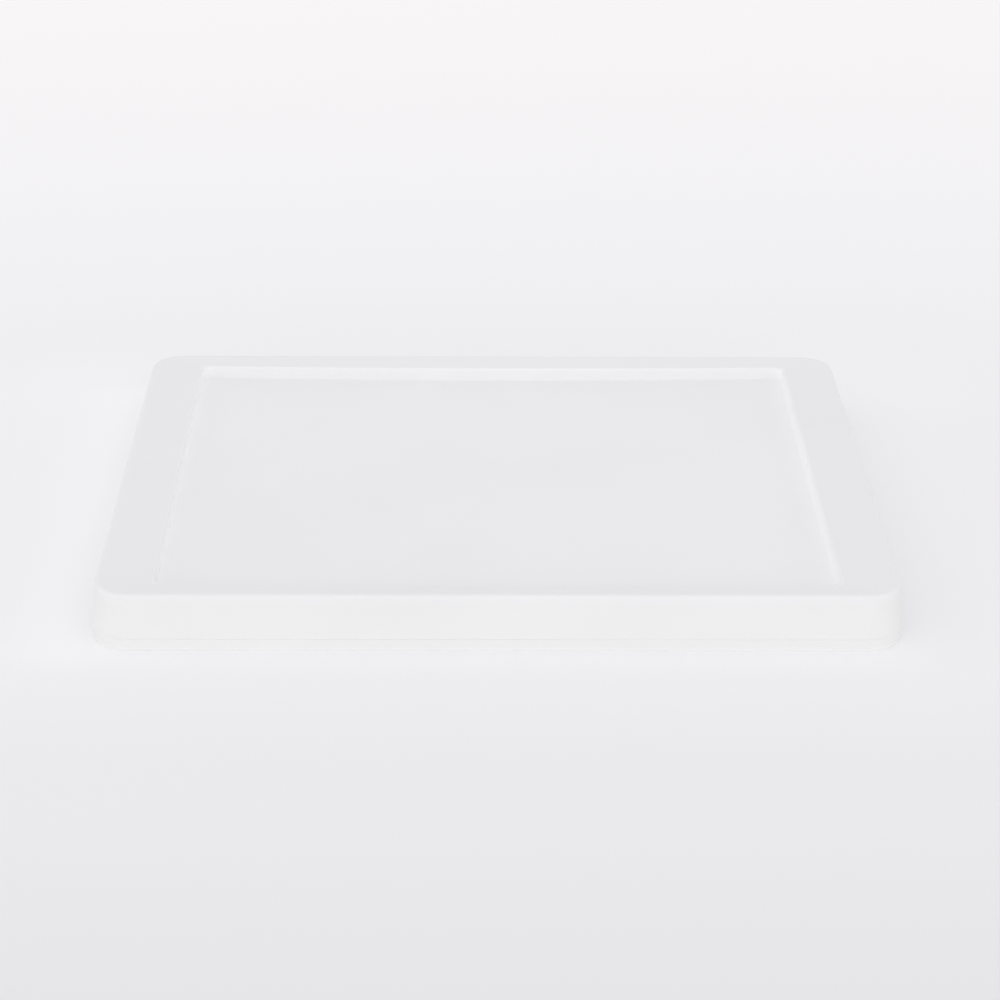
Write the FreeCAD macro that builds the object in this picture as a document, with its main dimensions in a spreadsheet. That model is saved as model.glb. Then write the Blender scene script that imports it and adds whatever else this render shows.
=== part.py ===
import FreeCAD, Part
import math
import os
import Sketcher

# Wet palette for acrylic paint: a low tray holds a damp sponge and a sheet of palette paper,
# and a lid with a recessed top fits over the tray's wall and rests on its shoulder.
# Millimetres, +Z up. The origin is the middle of the footprint on the table, and -Y is the front.

doc = FreeCAD.newDocument("wet_palette")
dims = doc.addObject("Spreadsheet::Sheet", "dims")

# How near an edge has to be to a height or an outline to count as lying on it.
TOUCH = 0.01

# Sizes that are set by hand. The lid's outline is given at its flat top.
DRIVING = {
    # Lid
    "lid_width": 400.0,
    "lid_depth": 300.0,
    "lid_corner": 17.0,
    "lid_height": 23.0,
    "lid_flare": 2.6,
    "lid_thick": 1.6,
    "lid_edge_round": 2.2,
    "hem_round": 0.4,
    # Recess in the lid's top, set in from its sides and from its front and back
    "side_rim": 29.0,
    "front_rim": 15.0,
    "recess_corner": 5.0,
    "recess_drop": 7.5,
    "recess_lean": 0.3,
    "recess_rim_round": 0.8,
    "panel_round": 2.0,
    # Rib under the lid's rim that plugs the tray
    "seal_thick": 1.2,
    "seal_drop": 3.0,
    "seal_clear": 0.3,
    # Tray
    "foot_height": 6.5,
    "foot_inset": 0.2,
    "foot_thick": 1.6,
    "foot_round": 0.8,
    "shoulder_thick": 1.6,
    "wall_thick": 1.4,
    "wall_lean": 0.35,
    "wall_clear": 0.35,
    "wall_gap": 0.5,
    "wall_round": 0.5,
    "floor_lift": 1.0,
    "floor_thick": 1.6,
    "floor_round": 3.0,
    # Sponge and palette paper
    "sponge_thick": 5.0,
    "sponge_clear": 1.5,
    "paper_thick": 0.15,
    "paper_inset": 2.0,
    # Least radius of a corner or an edge that another size leaves little room for
    "least_round": 0.3,
}

# Heights, lengths, slopes and offsets that follow from them.
DERIVED = {
    "table": "0",
    "lid_top": "foot_height + lid_height",
    "lid_slope": "atan(lid_flare / lid_height)",
    "lid_across": "lid_thick / cos(lid_slope)",
    "rim_under": "lid_top - lid_thick",
    "inside_height": "lid_height - lid_thick",
    "inside_offset": "lid_flare * lid_thick / lid_height - lid_across",
    "recess_width": "lid_width - 2 * side_rim",
    "recess_depth": "lid_depth - 2 * front_rim",
    "recess_slope": "atan(recess_lean / recess_drop)",
    "panel_top": "lid_top - recess_drop",
    "panel_under": "panel_top - lid_thick",
    "tub_across": "lid_thick / cos(recess_slope)",
    "tub_drop": "recess_drop + lid_thick",
    "tub_floor_lean": "recess_lean * tub_drop / recess_drop",
    "seal_root": "lid_top - lid_thick / 2",
    "seal_length": "lid_thick / 2 + seal_drop",
    "channel_height": "foot_height - shoulder_thick",
    "wall_top": "rim_under - wall_gap",
    "wall_rise": "wall_top - foot_height",
    "wall_slope": "atan(wall_lean / wall_rise)",
    "wall_inset": "lid_across + wall_clear - (lid_top - wall_top) * lid_flare / lid_height",
    "floor_top": "floor_lift + floor_thick",
    "well_drop": "wall_top - floor_top",
    "well_lean": "wall_lean * well_drop / wall_rise",
    "sponge_inset": "floor_round + sponge_clear",
    "sponge_top": "floor_top + sponge_thick",
    # Radii, limited by the wall that they round
    "recess_rim_fillet": "min(recess_rim_round; recess_drop * 0.6)",
    "panel_fillet": "min(panel_round; recess_drop * 0.3)",
    "tub_floor_fillet": "panel_fillet + lid_thick",
    "inside_fillet": "max(lid_edge_round - lid_thick; least_round)",
    "hem_fillet": "min(hem_round; lid_thick * 0.4)",
    "wall_fillet": "min(wall_round; wall_thick * 0.4)",
    "foot_fillet": "min(foot_round; foot_thick * 0.6)",
}

# Each of these outlines is another one moved outwards, or inwards with a minus sign, on all sides.
OFFSETS = {
    "hem": ("lid", "lid_flare"),
    "inside": ("hem", "-lid_across"),
    "inside_top": ("lid", "inside_offset"),
    "panel": ("recess", "-recess_lean"),
    "tub": ("recess", "tub_across"),
    "tub_floor": ("tub", "-tub_floor_lean"),
    "foot": ("hem", "-foot_inset"),
    "foot_inside": ("foot", "-foot_thick"),
    "wall": ("lid", "-wall_inset"),
    "wall_base": ("wall", "wall_lean"),
    "well": ("wall", "-wall_thick"),
    "well_floor": ("well", "-well_lean"),
    "seal": ("well", "-seal_clear"),
    "seal_inside": ("seal", "-seal_thick"),
    "sponge": ("well_floor", "-sponge_inset"),
    "paper": ("sponge", "-paper_inset"),
}
for new, (old, offset) in OFFSETS.items():
    DERIVED[f"{new}_width"] = f"{old}_width + 2 * ({offset})"
    DERIVED[f"{new}_depth"] = f"{old}_depth + 2 * ({offset})"
    DERIVED[f"{new}_corner"] = f"max({old}_corner + ({offset}); least_round)"

cells = list(DRIVING.items()) + [(name, "=" + formula) for name, formula in DERIVED.items()]
for row, (name, content) in enumerate(cells, start=1):
    dims.set(f"A{row}", name)
    dims.set(f"B{row}", str(content))
    dims.setAlias(f"B{row}", name)
doc.recompute()


def size(name):
    """The value of one cell."""
    value = dims.get(name)
    return getattr(value, "Value", value)


def rounded_rectangle(sketch, outline):
    """Draw a named outline, a rounded rectangle about the sketch's origin, tied to its cells."""
    half_x = size(f"{outline}_width") / 2
    half_y = size(f"{outline}_depth") / 2
    radius = size(f"{outline}_corner")
    x = half_x - radius
    y = half_y - radius

    def line(x1, y1, x2, y2):
        return Part.LineSegment(FreeCAD.Vector(x1, y1, 0), FreeCAD.Vector(x2, y2, 0))

    def quarter(centre_x, centre_y, start):
        circle = Part.Circle(FreeCAD.Vector(centre_x, centre_y, 0), FreeCAD.Vector(0, 0, 1), radius)
        return Part.ArcOfCircle(circle, math.radians(start), math.radians(start + 90))

    first = sketch.GeometryCount
    sketch.addGeometry(
        [
            line(-x, -half_y, x, -half_y),
            quarter(x, -y, -90),
            line(half_x, -y, half_x, y),
            quarter(x, y, 0),
            line(x, half_y, -x, half_y),
            quarter(-x, y, 90),
            line(-half_x, y, -half_x, -y),
            quarter(-x, -y, 180),
        ],
        False,
    )
    front, corner, right, second, back, third, left, fourth = range(first, first + 8)
    start, end, centre = 1, 2, 3
    origin = (-1, 1)
    rules = [("Tangent", first + step, end, first + (step + 1) % 8, start) for step in range(8)]
    rules += [("Horizontal", front), ("Horizontal", back), ("Vertical", right), ("Vertical", left)]
    rules += [("Equal", corner, other) for other in (second, third, fourth)]
    rules += [("Symmetric", corner, centre, third, centre, *origin)]
    for rule in rules:
        sketch.addConstraint(Sketcher.Constraint(*rule))
    for cell, rule in {
        f"{outline}_width": ("DistanceX", left, start, right, start, 2 * half_x),
        f"{outline}_depth": ("DistanceY", front, start, back, start, 2 * half_y),
        f"{outline}_corner": ("Radius", corner, radius),
    }.items():
        index = sketch.addConstraint(Sketcher.Constraint(*rule))
        sketch.renameConstraint(index, cell)
        sketch.setExpression(f"Constraints.{cell}", f"dims.{cell}")


def level_sketch(body, name, outlines, height):
    """A level sketch of one or more named outlines at a named height."""
    sketch = body.newObject("Sketcher::SketchObject", name)
    plane = next(item for item in body.Origin.OriginFeatures if item.Role == "XY_Plane")
    sketch.AttachmentSupport = [(plane, "")]
    sketch.MapMode = "FlatFace"
    sketch.setExpression("AttachmentOffset.Base.z", f"dims.{height}")
    for outline in outlines:
        rounded_rectangle(sketch, outline)
    return sketch


def extrude(body, kind, name, outlines, height, length, upward=False, slope=None):
    """A Pad or Pocket of named outlines from a height, down or up, with an optional slope."""
    before = body.Shape.Volume if body.Tip else 0.0
    sketch = level_sketch(body, f"{name}_sketch", outlines, height)
    feature = body.newObject(f"PartDesign::{kind}", name)
    feature.Profile = sketch
    feature.Reversed = (kind == "Pad") != upward
    feature.setExpression("Length", f"dims.{length}")
    if slope:
        feature.setExpression("TaperAngle", slope)
    doc.recompute()
    gain = feature.Shape.Volume - before
    if (gain > 0) != (kind == "Pad"):
        raise RuntimeError(f"{name} changes the volume by {gain:.3f}")


def on_outline(point, outline):
    """Whether a point lies on a named outline, seen from above."""
    radius = size(f"{outline}_corner")
    across = abs(point.x) - size(f"{outline}_width") / 2 + radius
    along = abs(point.y) - size(f"{outline}_depth") / 2 + radius
    from_centre = math.hypot(max(across, 0), max(along, 0)) + min(max(across, along), 0)
    return abs(from_centre - radius) < TOUCH


def round_edges(body, name, outline, height, radius):
    """Round the body's level edges along a named outline at a named height."""
    base = body.Tip
    level = size(height)
    edges = []
    for number, edge in enumerate(base.Shape.Edges, start=1):
        box = edge.BoundBox
        middle = edge.valueAt((edge.FirstParameter + edge.LastParameter) / 2)
        if max(abs(box.ZMin - level), abs(box.ZMax - level)) < TOUCH and on_outline(middle, outline):
            edges.append(f"Edge{number}")
    if not edges:
        raise RuntimeError(f"no edge follows {outline} at {height}")
    feature = body.newObject("PartDesign::Fillet", name)
    feature.Base = (base, edges)
    feature.setExpression("Radius", f"dims.{radius}")
    doc.recompute()


def new_body(name):
    """An empty body whose label names its file."""
    body = doc.addObject("PartDesign::Body", name)
    body.Label = name
    return body


def make_tray():
    """A shallow moulded pan: upright wall, shoulder for the lid, and a skirt down to the table."""
    body = new_body("tray")
    extrude(body, "Pad", "foot", ["foot"], "table", "foot_height", upward=True)
    extrude(body, "Pad", "wall", ["wall"], "wall_top", "wall_rise", slope="dims.wall_slope")
    extrude(body, "Pocket", "well", ["well"], "wall_top", "well_drop", slope="-dims.wall_slope")
    extrude(body, "Pocket", "underside", ["foot_inside"], "table", "floor_lift", upward=True)
    extrude(body, "Pocket", "channel", ["foot_inside", "wall_base"], "table", "channel_height", upward=True)
    round_edges(body, "floor_edge", "well_floor", "floor_top", "floor_round")
    round_edges(body, "wall_outer_edge", "wall", "wall_top", "wall_fillet")
    round_edges(body, "wall_inner_edge", "well", "wall_top", "wall_fillet")
    round_edges(body, "shoulder_edge", "foot", "foot_height", "foot_fillet")
    round_edges(body, "foot_edge", "foot", "table", "foot_fillet")
    return body


def make_sponge():
    """A flat sponge with rounded corners that lies on the tray's floor."""
    body = new_body("sponge")
    extrude(body, "Pad", "block", ["sponge"], "floor_top", "sponge_thick", upward=True)
    return body


def make_palette_paper():
    """A thin sheet of palette paper that lies on the sponge."""
    body = new_body("palette_paper")
    extrude(body, "Pad", "sheet", ["paper"], "sponge_top", "paper_thick", upward=True)
    return body


def make_lid():
    """A thin moulded lid: flared skirt, flat rim, recessed panel and a sealing rib below the rim."""
    body = new_body("lid")
    extrude(body, "Pad", "skirt", ["lid"], "lid_top", "lid_height", slope="dims.lid_slope")
    extrude(body, "Pocket", "inside", ["inside"], "foot_height", "inside_height", True, "-dims.lid_slope")
    extrude(body, "Pad", "tub", ["tub"], "lid_top", "tub_drop", slope="-dims.recess_slope")
    extrude(body, "Pocket", "recess", ["recess"], "lid_top", "recess_drop", slope="-dims.recess_slope")
    extrude(body, "Pad", "seal_rib", ["seal", "seal_inside"], "seal_root", "seal_length")
    round_edges(body, "outer_edge", "lid", "lid_top", "lid_edge_round")
    round_edges(body, "inside_edge", "inside_top", "rim_under", "inside_fillet")
    round_edges(body, "recess_rim", "recess", "lid_top", "recess_rim_fillet")
    round_edges(body, "panel_edge", "panel", "panel_top", "panel_fillet")
    round_edges(body, "tub_floor", "tub_floor", "panel_under", "tub_floor_fillet")
    round_edges(body, "hem_edge", "hem", "foot_height", "hem_fillet")
    return body


pieces = [make_tray(), make_sponge(), make_palette_paper(), make_lid()]

for item in doc.Objects:
    if "Invalid" in item.State or "Error" in item.State:
        raise RuntimeError(f"{item.Label} failed: {item.State}")
for piece in pieces:
    if piece.Shape.isNull() or not piece.Shape.isValid():
        raise RuntimeError(f"{piece.Label} has no valid shape")

os.makedirs("parts", exist_ok=True)
for piece in pieces:
    piece.Shape.exportStep(os.path.join("parts", f"{piece.Label}.step"))
    print(f"{piece.Label}: {len(piece.Shape.Solids)} solid, {piece.Shape.Volume / 1000:.2f} cm3")
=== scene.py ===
import math

import bpy
import numpy as np
from mathutils import Matrix, Vector, kdtree, noise


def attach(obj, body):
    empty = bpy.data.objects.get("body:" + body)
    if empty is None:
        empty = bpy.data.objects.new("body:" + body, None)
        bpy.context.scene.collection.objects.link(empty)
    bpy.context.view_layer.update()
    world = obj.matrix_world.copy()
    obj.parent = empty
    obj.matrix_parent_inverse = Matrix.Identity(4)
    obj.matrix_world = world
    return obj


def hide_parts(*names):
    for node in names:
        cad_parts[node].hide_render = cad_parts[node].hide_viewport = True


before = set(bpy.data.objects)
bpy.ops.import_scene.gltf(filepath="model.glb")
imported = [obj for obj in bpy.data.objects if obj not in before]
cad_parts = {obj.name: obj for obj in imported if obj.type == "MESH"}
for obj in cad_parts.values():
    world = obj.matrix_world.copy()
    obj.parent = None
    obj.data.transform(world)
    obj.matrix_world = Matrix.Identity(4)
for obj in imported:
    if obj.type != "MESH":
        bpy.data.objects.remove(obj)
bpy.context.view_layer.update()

# The pieces' lengths are in millimetres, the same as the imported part's. MM turns them into metres.
MM = 0.001

# Heights above the table.
LID_TOP, RIM_UNDER, HEM = 29.5, 27.9, 6.5
PANEL_TOP, PANEL_UNDER = 22.0, 20.4
SEAL_LOW = RIM_UNDER - 3.0
WALL_TOP, FLOOR_TOP, FLOOR_UNDER = 27.4, 2.6, 1.0
CHANNEL_TOP = 4.9
SPONGE_TOP, PAPER_THICK = 7.6, 0.15

# Outlines: half width, half depth and corner radius of rounded rectangles.
LID = (200.0, 150.0, 17.0)
RECESS = (171.0, 135.0, 5.0)
SPONGE = (191.96, 141.96, 8.96)
PAPER = (189.96, 139.96, 6.96)

# Offsets outwards from the lid's outline: the lid's skirt and sealing rib, then the tray's foot and wall.
SKIRT_OUT, SKIRT_IN, SKIRT_IN_TOP = 2.6, 0.99, -1.43
SEAL_OUT, SEAL_IN = -3.42, -4.62
FOOT_OUT, FOOT_IN = 2.4, 0.8
WALL_BASE, WALL_OUT_TOP, WELL_TOP, WELL_LOW = -1.37, -1.72, -3.12, -3.54

# Offsets outwards from the recess's outline: the foot of its wall, and the tub on the lid's underside.
RECESS_FOOT, TUB_TOP, TUB_LOW = -0.3, 1.53, 1.23

# Mesh cells along a long side, along a short side and in half a corner.
SHELL_CELLS, SPONGE_CELLS, PAPER_CELLS = (40, 30, 5), (120, 88, 4), (64, 46, 4)

# How far the thin lid has sunk from its nominal shape: all along the rim's inner edge, further at the
# middle of that edge's long sides, at the middle of the panel's long sides, and further in its middle.
RIM_DISH, RIM_BOW, PANEL_BOW, PANEL_SAG = 1.0, 1.0, 1.5, 0.35

# The sponge's pores: their number on each side, the least radius, what the largest adds to it, and their
# depth as a share of the radius.
SEED = 7
PORE_COUNT, PORE_LEAST, PORE_SPREAD, PORE_DEPTH = 5200, 1.2, 3.2, 0.34

# Colours of the lid's panel, rim and skirt, and of the tray's outside and inside. Their differences are
# painted
# light and shade: the panel a little lighter than the rim, the skirt warmer against the bluish light from
# above, and the tray's inside much lighter for the light its milky walls would pass.
PANEL_COLOUR, RIM_COLOUR, SKIRT_COLOUR = (0.838, 0.838, 0.838), (0.812, 0.812, 0.812), (0.811, 0.810, 0.799)
TRAY_COLOUR, TRAY_INSIDE_PAINTED_LIGHT = (0.812, 0.810, 0.800), (0.935, 0.935, 0.930)

# The soft light's strength in a direction: a level, how it grows towards +X, +Y and +Z, and how much it
# falls off towards both sides. It is white from the sides and has another colour from straight above.
SKY_LEVEL, SKY_LEAN, SKY_SIDES = 1.408, (-0.03, -0.27, -0.54), 0.3
SKY_COLOUR_ABOVE = (0.988, 0.976, 1.016)
BACKGROUND_COLOUR = (0.91, 0.905, 0.905)
KEY_WATTS, KEY_SIZE, KEY_PLACE = 1.5, (1.6, 1.2), (-2.3, 0.6, 1.3)

# The floor, in metres: how far it goes, where its painted change of colour starts and ends from front to
# back, and the half width, half depth and shift to the left of the painted light that glows round the
# object.
FLOOR_HALF, FLOOR_FRONT, FLOOR_BACK = 20.0, -0.45, 1.0
PAINTED_GLOW_HALF_X, PAINTED_GLOW_HALF_Y, PAINTED_GLOW_LEFT = 0.2, 0.15, 0.015

# The camera that the photograph's outlines give: radians, metres, and millimetres for its lens.
CAMERA_PITCH, CAMERA_YAW, CAMERA_ROLL = 0.459687, -0.0168273, 0.00940633
CAMERA_PLACE = (-0.01857, -1.25874, 0.6311)
CAMERA_SENSOR, CAMERA_LENS = 36.0, 92.52


def rounded_path(corners, steps=5):
    """Points of a profile through (d, z, radius) corners, with an arc of a few steps at each one."""
    points = [np.array(corners[0][:2], float)]
    for before, (d, z, radius), after in zip(corners, corners[1:-1], corners[2:]):
        corner = np.array((d, z), float)
        back = np.array(before[:2]) - corner
        ahead = np.array(after[:2]) - corner
        back /= np.linalg.norm(back)
        ahead /= np.linalg.norm(ahead)
        half = math.acos(np.clip(back @ ahead, -1, 1)) / 2
        reach = radius / math.tan(half)
        middle = (back + ahead) / np.linalg.norm(back + ahead)
        centre = corner + middle * radius / math.sin(half)
        first, last = corner + back * reach - centre, corner + ahead * reach - centre
        sweep = math.pi - 2 * half
        for step in range(steps + 1):
            t = step / steps
            points.append(
                centre + (math.sin((1 - t) * sweep) * first + math.sin(t * sweep) * last) / math.sin(sweep)
            )
    points.append(np.array(corners[-1][:2], float))
    return points


def ring(outline, offset, cells):
    """Points round an outline moved outwards by an offset, from the middle of its front left corner."""
    least_radius = 0.3
    half_x, half_y = outline[0] + offset, outline[1] + offset
    radius = max(outline[2] + offset, least_radius)
    x, y = half_x - radius, half_y - radius
    along_x, along_y, half_arc = cells
    points = []

    def arc(centre_x, centre_y, start):
        for step in range(half_arc):
            angle = math.radians(start + 45 * step / half_arc)
            points.append((centre_x + radius * math.cos(angle), centre_y + radius * math.sin(angle)))

    def line(x1, y1, x2, y2, count):
        for step in range(count):
            t = step / count
            points.append((x1 + (x2 - x1) * t, y1 + (y2 - y1) * t))

    arc(-x, -y, 225)
    line(-x, -half_y, x, -half_y, along_x)
    arc(x, -y, 270)
    arc(x, -y, 315)
    line(half_x, -y, half_x, y, along_y)
    arc(x, y, 0)
    arc(x, y, 45)
    line(x, half_y, -x, half_y, along_x)
    arc(-x, y, 90)
    arc(-x, y, 135)
    line(-half_x, y, -half_x, -y, along_y)
    arc(-x, -y, 180)
    return np.array(points)


def patch(boundary, cells):
    """A grid of points inside a ring: rows from the front, its border on the ring."""
    across, along = cells[0] + 2 * cells[2], cells[1] + 2 * cells[2]
    front = boundary[: across + 1]
    right = boundary[across : across + along + 1]
    back = boundary[across + along : 2 * across + along + 1][::-1]
    left = np.vstack([boundary[2 * across + along :], boundary[:1]])[::-1]
    s = np.linspace(0, 1, across + 1)[None, :, None]
    t = np.linspace(0, 1, along + 1)[:, None, None]
    grid = (1 - t) * front[None] + t * back[None] + (1 - s) * left[:, None] + s * right[:, None]
    grid -= (1 - t) * ((1 - s) * front[0] + s * front[-1]) + t * ((1 - s) * back[0] + s * back[-1])
    return grid


class Shell:
    """A closed mesh from rings of equal counts, with a patch across each of its two ends."""

    def __init__(self, cells):
        self.cells = cells
        self.across = cells[0] + 2 * cells[2]
        self.along = cells[1] + 2 * cells[2]
        self.count = 2 * (self.across + self.along)
        self.points = []
        self.faces = []
        self.last = None

    def add(self, rows):
        """Adds points and returns their numbers."""
        first = len(self.points)
        self.points.extend(tuple(row) for row in rows)
        return list(range(first, len(self.points)))

    def border(self, numbers):
        """The numbers on the border of a patch, in the order of a ring."""
        width = self.across + 1

        def at(row, column):
            return numbers[row * width + column]

        return (
            [at(0, i) for i in range(self.across)]
            + [at(j, self.across) for j in range(self.along)]
            + [at(self.along, self.across - i) for i in range(self.across)]
            + [at(self.along - j, 0) for j in range(self.along)]
        )

    def cap(self, boundary, height):
        """A patch inside a ring. height gives z from x and y. Its border joins the ring before it."""
        grid = patch(boundary, self.cells).reshape(-1, 2)
        numbers = self.add((x, y, height(x, y)) for x, y in grid)
        width = self.across + 1
        starting = self.last is None
        for row in range(self.along):
            for column in range(self.across):
                a = row * width + column
                quad = [numbers[a], numbers[a + 1], numbers[a + width + 1], numbers[a + width]]
                self.faces.append(quad if starting else quad[::-1])
        border = self.border(numbers)
        if starting:
            self.last = border
        else:
            self.join(border)

    def loop(self, points, heights):
        """One more ring, joined to the last one."""
        self.join(self.add((x, y, z) for (x, y), z in zip(points, heights)))

    def join(self, numbers):
        """Faces between the last ring and a new one of the same count."""
        for a in range(self.count):
            b = (a + 1) % self.count
            self.faces.append([self.last[a], numbers[a], numbers[b], self.last[b]])
        self.last = numbers

    def build(self, name):
        """The mesh as an object, in metres."""
        mesh = bpy.data.meshes.new(name)
        mesh.from_pydata([tuple(c * MM for c in p) for p in self.points], [], self.faces)
        mesh.validate()
        mesh.polygons.foreach_set("use_smooth", [True] * len(mesh.polygons))
        mesh.update()
        piece = bpy.data.objects.new(name, mesh)
        bpy.context.scene.collection.objects.link(piece)
        return piece


def even_normals(piece):
    """Flat faces keep flat shading up to the rounded edges beside them."""
    weighted = piece.modifiers.new("even_normals", "WEIGHTED_NORMAL")
    weighted.mode = "FACE_AREA"
    weighted.weight = 90
    return piece


def sunk(x, y, depth):
    """How far the lid has sunk at a point, from depth 0 at the rim to 1 at the panel, in millimetres."""
    u, v = min(abs(x) / RECESS[0], 1), min(abs(y) / RECESS[1], 1)
    bow = 1 - u * u
    rim = RIM_DISH + RIM_BOW * bow
    panel = bow * (PANEL_BOW + PANEL_SAG * (1 - v * v))
    return rim + (panel - rim) * min(max(depth, 0), 1)


def make_lid():
    """Flared skirt, flat rim, sunk panel, and a sealing rib below the rim."""
    shell = Shell(SHELL_CELLS)
    recess = rounded_path(
        [(-3.0, PANEL_TOP), (RECESS_FOOT, PANEL_TOP, 2.0), (0, LID_TOP, 0.8), (1.4, LID_TOP)]
    )
    skirt = rounded_path(
        [
            (-2.8, LID_TOP),
            (0, LID_TOP, 2.2),
            (SKIRT_OUT, HEM, 0.25),
            (SKIRT_IN, HEM, 0.25),
            (SKIRT_IN_TOP, RIM_UNDER, 0.6),
            (SEAL_OUT, RIM_UNDER, 0.3),
            (SEAL_OUT, SEAL_LOW, 0.4),
            (SEAL_IN, SEAL_LOW, 0.4),
            (SEAL_IN, RIM_UNDER, 0.3),
            (-6.0, RIM_UNDER),
        ]
    )
    tub = rounded_path(
        [(3.0, RIM_UNDER), (TUB_TOP, RIM_UNDER, 0.4), (TUB_LOW, PANEL_UNDER, 3.6), (-3.0, PANEL_UNDER)]
    )

    def recess_loop(offset, z, top):
        """A ring of the recess's wall, which has sunk more the lower it is."""
        points = ring(RECESS, offset, SHELL_CELLS)
        depth = (top - z) / (LID_TOP - PANEL_TOP)
        shell.loop(points, [z - sunk(x, y, depth) for x, y in points])

    shell.cap(ring(RECESS, recess[0][0], SHELL_CELLS), lambda x, y: PANEL_TOP - sunk(x, y, 1))
    for offset, z in recess[1:]:
        recess_loop(offset, z, LID_TOP)
    for offset, z in skirt:
        points = ring(LID, offset, SHELL_CELLS)
        shell.loop(points, [z] * len(points))
    for offset, z in tub[:-1]:
        recess_loop(offset, z, RIM_UNDER)
    shell.cap(ring(RECESS, tub[-1][0], SHELL_CELLS), lambda x, y: PANEL_UNDER - sunk(x, y, 1))
    return even_normals(shell.build("lid_shell"))


def make_tray():
    """Low pan with an upright wall, a shoulder for the lid's edge, and a foot skirt."""
    shell = Shell(SHELL_CELLS)
    flat = 4.0
    profile = rounded_path(
        [
            (WELL_LOW - flat, FLOOR_TOP),
            (WELL_LOW, FLOOR_TOP, 3.0),
            (WELL_TOP, WALL_TOP, 0.5),
            (WALL_OUT_TOP, WALL_TOP, 0.5),
            (WALL_BASE, HEM, 0.3),
            (FOOT_OUT, HEM, 0.4),
            (FOOT_OUT, 0, 0.12),
            (FOOT_IN, 0, 0.3),
            (FOOT_IN, CHANNEL_TOP, 0.4),
            (WALL_BASE, CHANNEL_TOP, 0.4),
            (WALL_BASE, FLOOR_UNDER, 0.4),
            (WALL_BASE - flat, FLOOR_UNDER),
        ]
    )
    shell.cap(ring(LID, profile[0][0], SHELL_CELLS), lambda x, y: FLOOR_TOP)
    for offset, z in profile[1:-1]:
        points = ring(LID, offset, SHELL_CELLS)
        shell.loop(points, [z] * len(points))
    shell.cap(ring(LID, profile[-1][0], SHELL_CELLS), lambda x, y: FLOOR_UNDER)
    return even_normals(shell.build("tray_shell"))


def make_sponge():
    """Flat cellulose sponge: open pores all over, and edges that are a little uneven."""
    shell = Shell(SPONGE_CELLS)
    rng = np.random.default_rng(SEED)
    edge_round, bevel_in, bevel_down = 0.9, 0.28, 0.26
    most_pull, hollow = 0.004, 0.12

    def pores():
        """The radii of pores strewn over one side, and a tree of their centres."""
        centres = rng.uniform((-SPONGE[0], -SPONGE[1]), (SPONGE[0], SPONGE[1]), (PORE_COUNT, 2))
        radii = PORE_LEAST + PORE_SPREAD * rng.random(PORE_COUNT) ** 3
        tree = kdtree.KDTree(PORE_COUNT)
        for number, (x, y) in enumerate(centres):
            tree.insert((x, y, 0), number)
        tree.balance()
        return radii, tree

    def dent(x, y, field):
        """How far a point of one side lies inwards, in a pore or a shallow hollow."""
        radii, tree = field
        deepest = 0.0
        for _, number, far in tree.find_range((x, y, 0), PORE_LEAST + PORE_SPREAD):
            share = far / radii[number]
            if share < 1:
                deepest = max(deepest, PORE_DEPTH * radii[number] * (1 - share * share))
        return deepest + hollow * (1 + noise.noise((x * 0.06, y * 0.06, 3.0)))

    above, below = pores(), pores()
    inner = ring(SPONGE, -edge_round, SPONGE_CELLS)
    shell.cap(inner, lambda x, y: SPONGE_TOP - dent(x, y, above))
    levels = [
        (-bevel_in, SPONGE_TOP - bevel_down),
        (0, SPONGE_TOP - edge_round),
        (0, 5.6),
        (0, 4.6),
        (0, FLOOR_TOP + edge_round),
        (-bevel_in, FLOOR_TOP + bevel_down),
    ]
    for offset, z in levels:
        points = ring(SPONGE, offset, SPONGE_CELLS)
        uneven = np.array([noise.noise((x * 0.35, y * 0.35, z * 0.8)) for x, y in points])
        pull = 1 - most_pull * np.clip(0.5 + uneven, 0, 1)
        shell.loop(points * pull[:, None], [z] * len(points))
    shell.cap(inner, lambda x, y: FLOOR_TOP + dent(x, y, below))
    return shell.build("sponge_pad")


def make_paper():
    """Damp palette paper, cockled a little and lifting at its corners."""
    shell = Shell(PAPER_CELLS)
    outline = ring(PAPER, 0, PAPER_CELLS)
    cockle, corner_rise, corner_start = 0.28, 1.3, 1.72

    def lift(x, y):
        u, v = abs(x) / PAPER[0], abs(y) / PAPER[1]
        wave = noise.noise((x * 0.018, y * 0.022, 11.0)) + 0.5 * noise.noise((x * 0.05, y * 0.045, 5.0))
        corner = max(u + v - corner_start, 0) / (2 - corner_start)
        return cockle * max(0.35 + wave, 0) + corner_rise * corner * corner

    shell.cap(outline, lambda x, y: SPONGE_TOP + PAPER_THICK + lift(x, y))
    shell.cap(outline, lambda x, y: SPONGE_TOP + lift(x, y))
    return shell.build("paper_sheet")


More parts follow.
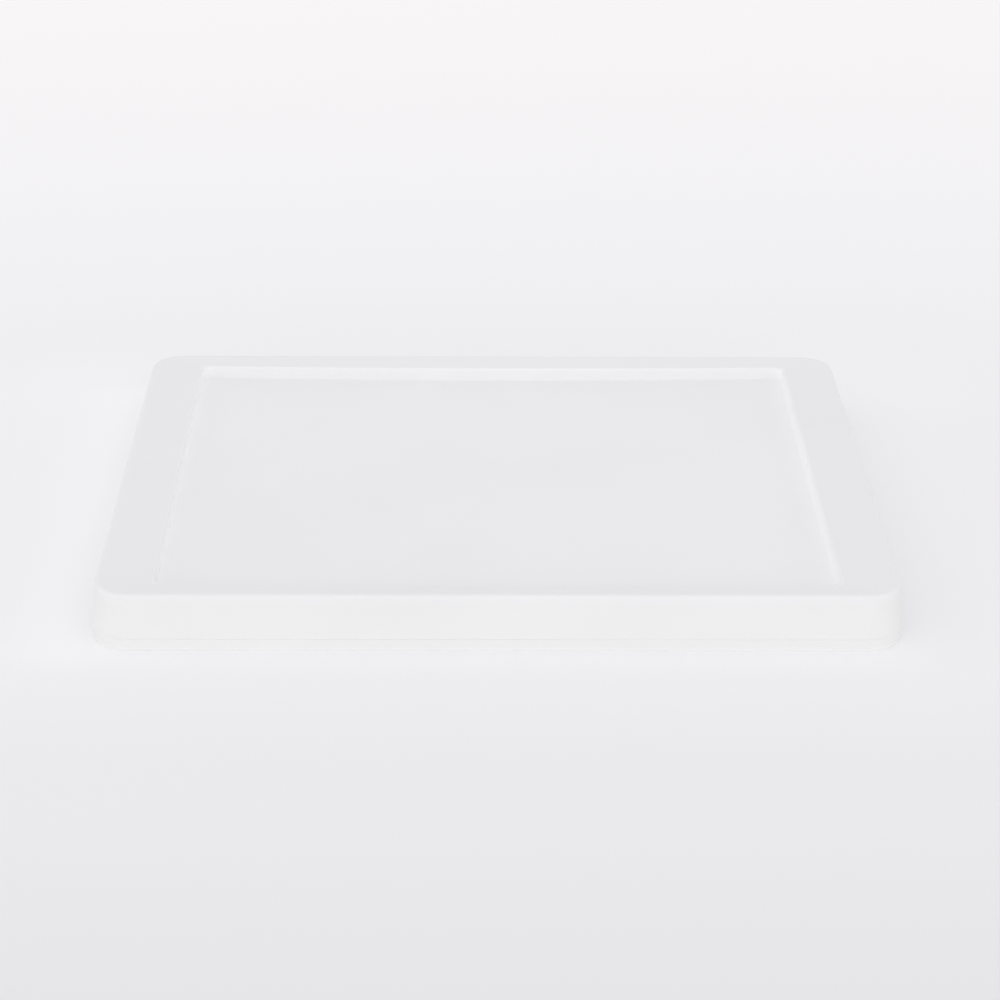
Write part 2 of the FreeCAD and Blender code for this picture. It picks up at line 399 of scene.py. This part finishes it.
class Nodes:
    """A node tree, with short ways to add to it."""

    def __init__(self, tree):
        self.tree = tree

    def add(self, kind, inputs=None, **settings):
        """A node with its settings, and its inputs by name or number: a value or another node's output."""
        node = self.tree.nodes.new(kind)
        for key, value in settings.items():
            setattr(node, key, value)
        for key, value in (inputs or {}).items():
            if isinstance(value, bpy.types.NodeSocket):
                self.tree.links.new(value, node.inputs[key])
            else:
                node.inputs[key].default_value = value
        return node

    def math(self, operation, a, b=0.0, c=0.0):
        return self.add("ShaderNodeMath", {0: a, 1: b, 2: c}, operation=operation).outputs[0]

    def dot(self, a, b):
        return self.add("ShaderNodeVectorMath", {0: a, 1: b}, operation="DOT_PRODUCT").outputs["Value"]

    def split(self, vector):
        """A vector's outputs X, Y and Z."""
        return self.add("ShaderNodeSeparateXYZ", {"Vector": vector}).outputs

    def mapped(self, value, low, high, to_low, to_high, kind="LINEAR"):
        """A value from low to high, held within them, as one from to_low to to_high."""
        inputs = {0: value, 1: low, 2: high, 3: to_low, 4: to_high}
        return self.add("ShaderNodeMapRange", inputs, interpolation_type=kind).outputs[0]

    def ramp(self, value, *stops):
        """A colour from (position, colour) stops."""
        node = self.add("ShaderNodeValToRGB", {"Fac": value})
        elements = node.color_ramp.elements
        while len(elements) < len(stops):
            elements.new(0.5)
        for element, (position, colour) in zip(elements, stops):
            element.position = position
            element.color = (*colour, 1)
        return node.outputs["Color"]


class Surface(Nodes):
    """A material's nodes, about one Principled shader."""

    def __init__(self, name, **sockets):
        self.material = bpy.data.materials.new(name)
        self.material.use_nodes = True
        super().__init__(self.material.node_tree)
        self.shader = self.tree.nodes["Principled BSDF"]
        self.place = self.add("ShaderNodeTexCoord").outputs["Object"]
        for socket, value in sockets.items():
            self.shader.inputs[socket.replace("_", " ")].default_value = value

    def noise(self, scale, detail=2.0, roughness=0.5, vector=None):
        node = self.add(
            "ShaderNodeTexNoise",
            {"Vector": vector or self.place, "Scale": scale, "Detail": detail, "Roughness": roughness},
        )
        return node.outputs["Fac"]

    def pores(self, scale):
        """The distance from the nearest of many scattered points."""
        return self.add("ShaderNodeTexVoronoi", {"Vector": self.place, "Scale": scale}).outputs["Distance"]

    def axes(self):
        """A point's distances from the middle along X and Y, and its height."""
        parts = self.split(self.place)
        return self.math("ABSOLUTE", parts["X"]), self.math("ABSOLUTE", parts["Y"]), parts["Z"]

    def facing(self):
        """How far a surface faces up, and how far it faces outwards, which is negative inside a wall."""
        normal = self.add("ShaderNodeNewGeometry").outputs["Normal"]
        flat = self.add("ShaderNodeVectorMath", {0: self.place, 1: (1.0, 1.0, 0.0)}, operation="MULTIPLY")
        return self.split(normal)["Z"], self.dot(normal, flat.outputs["Vector"])

    def bump(self, height, distance, strength=1.0, before=None):
        inputs = {"Height": height, "Distance": distance, "Strength": strength}
        if before:
            inputs["Normal"] = before
        return self.add("ShaderNodeBump", inputs).outputs["Normal"]

    def set(self, socket, output):
        self.tree.links.new(output, self.shader.inputs[socket])

    def set_colour(self, colour, factor):
        """The base colour: a colour times a factor."""
        node = self.add("ShaderNodeVectorMath", {0: colour, "Scale": factor}, operation="SCALE")
        self.set("Base Color", node.outputs["Vector"])


def plastic(name):
    """Milky natural polypropylene: satin under a faint gloss, clouded, with a fine moulded texture."""
    surface = Surface(name, IOR=1.49, Specular_IOR_Level=0.3, Coat_Weight=0.25, Coat_Roughness=0.03)
    scuff = surface.noise(90.0, 4.0, 0.6)
    surface.set("Roughness", surface.mapped(scuff, 0.3, 0.7, 0.34, 0.44))
    wave = surface.bump(surface.noise(16.0, 1.0), 0.0004)
    surface.set("Normal", surface.bump(surface.noise(1800.0, 1.0), 0.00001, 1.0, wave))
    cloud = surface.mapped(surface.noise(11.0, 3.0, 0.55), 0.35, 0.65, 0.985, 1.0)
    return surface, cloud


def lid_plastic():
    """The lid's plastic, with painted light: the recess's walls, the panel beside them and the underside
    are painted lighter, for the light that milky plastic passes on from behind."""
    surface, cloud = plastic("lid_plastic")
    x, y, z = surface.axes()
    past_x = surface.math("SUBTRACT", x, RECESS[0] * MM)
    past_y = surface.math("SUBTRACT", y, RECESS[1] * MM)
    outside = surface.math("MAXIMUM", past_x, past_y)

    # Painted light and shade: the panel, rim and skirt differ in colour only for how the light falls on
    # them.
    on_rim = surface.mapped(outside, 0.0004, 0.0014, 0.0, 1.0)
    rim_or_skirt = surface.mapped(z, 0.024, 0.027, 1.0, 0.5)
    place = surface.math("MULTIPLY", on_rim, rim_or_skirt)
    colour = surface.ramp(place, (0.0, PANEL_COLOUR), (0.5, RIM_COLOUR), (1.0, SKIRT_COLOUR))

    def lift(past, sharpness, beside, upright):
        """How much painted light a point gets near a wall of the recess, and on that wall."""
        close = surface.math("POWER", surface.mapped(past, -0.018, -0.0005, 0.0, 1.0), sharpness)
        return surface.math("MULTIPLY", close, surface.mapped(z, 0.0215, 0.0235, beside, upright))

    # Painted light: the recess's side walls and the panel beside them are lightest, its front and back
    # walls less.
    glow = surface.math("MAXIMUM", lift(past_x, 3.0, 0.075, 0.16), lift(past_y, 8.0, 0.02, 0.04))
    in_recess = surface.mapped(outside, 0.0004, 0.0010, 1.0, 0.0)
    below_edge = surface.mapped(z, 0.0270, 0.0284, 1.0, 0.0)
    factor = surface.math("MULTIPLY_ADD", glow, surface.math("MULTIPLY", in_recess, below_edge), 1.0)
    # Painted light: surfaces facing down are lighter, as the underside lies between two milky shells.
    up, _ = surface.facing()
    factor = surface.math("MULTIPLY", factor, surface.mapped(up, -0.6, -0.3, 1.12, 1.0))
    surface.set_colour(colour, surface.math("MULTIPLY", factor, cloud))
    return surface.material


def tray_plastic():
    """The tray's plastic, with painted light: the inside is painted lighter, for the light its milky walls
    would pass, and so is the foot low down, for the light from the pale floor.
    """
    surface, cloud = plastic("tray_plastic")
    _, _, height = surface.axes()
    # Painted light from the pale floor: the foot is a little lighter low down.
    low = surface.mapped(height, 0.0, 0.003, 1.03, 1.0)
    up, outwards = surface.facing()
    below_shoulder = surface.mapped(height, 0.004, 0.005, 1.0, 0.0)
    on_floor = surface.math("MULTIPLY", surface.mapped(up, 0.3, 0.6, 0.0, 1.0), below_shoulder)
    # Painted light: the floor and the inner walls of the tray are lighter than its outside.
    inside = surface.math("MAXIMUM", on_floor, surface.mapped(outwards, -0.02, -0.005, 1.0, 0.0))
    colour = surface.ramp(inside, (0.0, TRAY_COLOUR), (1.0, TRAY_INSIDE_PAINTED_LIGHT))
    surface.set_colour(colour, surface.math("MULTIPLY", low, cloud))
    return surface.material


def sponge_foam():
    """Damp cellulose: cream, with open pores of two sizes, painted darker in their hollows for the shade
    there.
    """
    surface = Surface("sponge_foam", Roughness=0.82, IOR=1.4, Specular_IOR_Level=0.35)
    # Painted shade: the colour goes darker towards the middle of each pore.
    pores = surface.math("MINIMUM", surface.pores(210.0), surface.pores(640.0))
    pore_shade, middle, top = (0.50, 0.47, 0.40), (0.80, 0.78, 0.72), (0.88, 0.87, 0.82)
    surface.set("Base Color", surface.ramp(pores, (0.05, pore_shade), (0.22, middle), (0.5, top)))
    surface.set("Normal", surface.bump(pores, 0.0012, 0.9))
    return surface.material


def palette_paper():
    """Thin parchment-like paper: fine fibres and a few damp clouds."""
    surface = Surface("palette_paper", IOR=1.45, Specular_IOR_Level=0.35)
    damp = surface.noise(14.0, 4.0, 0.6)
    wet, dry = (0.80, 0.80, 0.775), (0.88, 0.88, 0.865)
    surface.set("Base Color", surface.ramp(damp, (0.35, wet), (0.62, dry)))
    stretched = surface.add("ShaderNodeMapping", {"Vector": surface.place, "Scale": (1.0, 0.18, 1.0)})
    fibre = surface.noise(900.0, 3.0, 0.6, stretched.outputs["Vector"])
    surface.set("Roughness", surface.mapped(damp, 0.35, 0.65, 0.48, 0.66))
    surface.set("Normal", surface.bump(fibre, 0.00006))
    return surface.material


def dress(piece, body, material):
    """Gives a piece its material and its CAD body, in place of the body's node."""
    piece.data.materials.append(material)
    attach(piece, body)
    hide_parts(body)
    return piece


dress(make_lid(), "lid", lid_plastic())
dress(make_tray(), "tray", tray_plastic())
sponge = dress(make_sponge(), "sponge", sponge_foam())
paper = dress(make_paper(), "palette_paper", palette_paper())


def floor_paper():
    """Pale paper, painted lighter and warmer towards the back for how the light falls on it, with a faint
    glow of painted light round the object.
    """
    surface = Surface("floor_paper", Roughness=0.9, Specular_IOR_Level=0.2)
    parts = surface.split(surface.place)
    # Painted light: the floor's colour grows lighter from front to back.
    colour = surface.ramp(
        surface.mapped(parts["Y"], FLOOR_FRONT, FLOOR_BACK, 0.0, 1.0),
        (0.0, (0.806, 0.806, 0.806)),
        (0.1, (0.848, 0.848, 0.848)),
        (0.4, (0.873, 0.873, 0.872)),
        (0.7, (0.931, 0.926, 0.918)),
        (1.0, (0.966, 0.950, 0.933)),
    )

    def beyond(value, half):
        """How far a coordinate lies beyond half a width, on either side."""
        past = surface.math("SUBTRACT", surface.math("ABSOLUTE", value), half)
        return surface.math("MAXIMUM", past, 0.0)

    # Painted light: the floor is lighter close round the object, a wide faint rise and a narrow stronger
    # one.
    x = beyond(surface.math("ADD", parts["X"], PAINTED_GLOW_LEFT), PAINTED_GLOW_HALF_X)
    y = surface.math("MULTIPLY", beyond(parts["Y"], PAINTED_GLOW_HALF_Y), 1.4)
    square = surface.math("ADD", surface.math("MULTIPLY", x, x), surface.math("MULTIPLY", y, y))
    away = surface.math("SQRT", square)
    wide = surface.mapped(away, 0.0, 0.16, 1.045, 1.0, "SMOOTHSTEP")
    narrow = surface.mapped(away, 0.0, 0.045, 0.042, 0.0, "SMOOTHSTEP")
    surface.set_colour(colour, surface.math("ADD", wide, narrow))
    return surface.material


def make_floor():
    """A wide level floor under the object."""
    mesh = bpy.data.meshes.new("floor")
    corners = [(-1, -1), (1, -1), (1, 1), (-1, 1)]
    mesh.from_pydata([(x * FLOOR_HALF, y * FLOOR_HALF, 0) for x, y in corners], [], [(0, 1, 2, 3)])
    floor = bpy.data.objects.new("floor", mesh)
    bpy.context.scene.collection.objects.link(floor)
    floor.data.materials.append(floor_paper())


def make_world():
    """Soft light from all round, stronger from the front, with a pale background."""
    world = bpy.data.worlds.new("studio")
    bpy.context.scene.world = world
    world.use_nodes = True
    nodes = Nodes(world.node_tree)
    nodes.tree.nodes.clear()

    direction = nodes.add("ShaderNodeTexCoord").outputs["Generated"]
    axes = nodes.split(direction)
    sideways = nodes.math("MULTIPLY", axes["X"], axes["X"])
    fall = nodes.math("MULTIPLY_ADD", sideways, -SKY_SIDES, SKY_LEVEL)
    level = nodes.math("ADD", nodes.dot(direction, SKY_LEAN), fall)
    colour = nodes.ramp(axes["Z"], (0.0, (1.0, 1.0, 1.0)), (1.0, SKY_COLOUR_ABOVE))
    soft = nodes.add("ShaderNodeBackground", {"Color": colour, "Strength": level})
    seen = nodes.add("ShaderNodeBackground", {"Color": (*BACKGROUND_COLOUR, 1), "Strength": 1.0})

    rays = nodes.add("ShaderNodeLightPath").outputs
    straight = nodes.math("MAXIMUM", rays["Is Camera Ray"], rays["Is Glossy Ray"])
    shows = nodes.math("MAXIMUM", straight, rays["Is Transmission Ray"])
    mix = nodes.add("ShaderNodeMixShader", {0: shows, 1: soft.outputs[0], 2: seen.outputs[0]})
    nodes.add("ShaderNodeOutputWorld", {"Surface": mix.outputs[0]})


def make_key():
    """One large soft lamp from the left."""
    lamp = bpy.data.lights.new("key", "AREA")
    lamp.shape = "RECTANGLE"
    lamp.size, lamp.size_y = KEY_SIZE
    lamp.energy = KEY_WATTS
    key = bpy.data.objects.new("key", lamp)
    key.location = KEY_PLACE
    key.rotation_euler = (-key.location).to_track_quat("-Z", "Y").to_euler()
    bpy.context.scene.collection.objects.link(key)


def make_camera():
    """The camera at the photograph's viewing angle, turned by its yaw, pitch and roll in that order."""
    right = Vector((math.cos(CAMERA_YAW), math.sin(CAMERA_YAW), 0))
    level = Vector((-math.sin(CAMERA_YAW), math.cos(CAMERA_YAW), 0))
    ahead = level * math.cos(CAMERA_PITCH) - Vector((0, 0, math.sin(CAMERA_PITCH)))
    up = level * math.sin(CAMERA_PITCH) + Vector((0, 0, math.cos(CAMERA_PITCH)))
    across = right * math.cos(CAMERA_ROLL) + up * math.sin(CAMERA_ROLL)
    above = up * math.cos(CAMERA_ROLL) - right * math.sin(CAMERA_ROLL)
    data = bpy.data.cameras.new("camera")
    data.sensor_width = CAMERA_SENSOR
    data.lens = CAMERA_LENS
    camera = bpy.data.objects.new("camera", data)
    turn = Matrix((across, above, -ahead)).transposed().to_4x4()
    camera.matrix_world = Matrix.Translation(CAMERA_PLACE) @ turn
    bpy.context.scene.collection.objects.link(camera)
    bpy.context.scene.camera = camera


make_floor()
make_world()
make_key()
make_camera()
bpy.context.scene.view_settings.view_transform = "Standard"
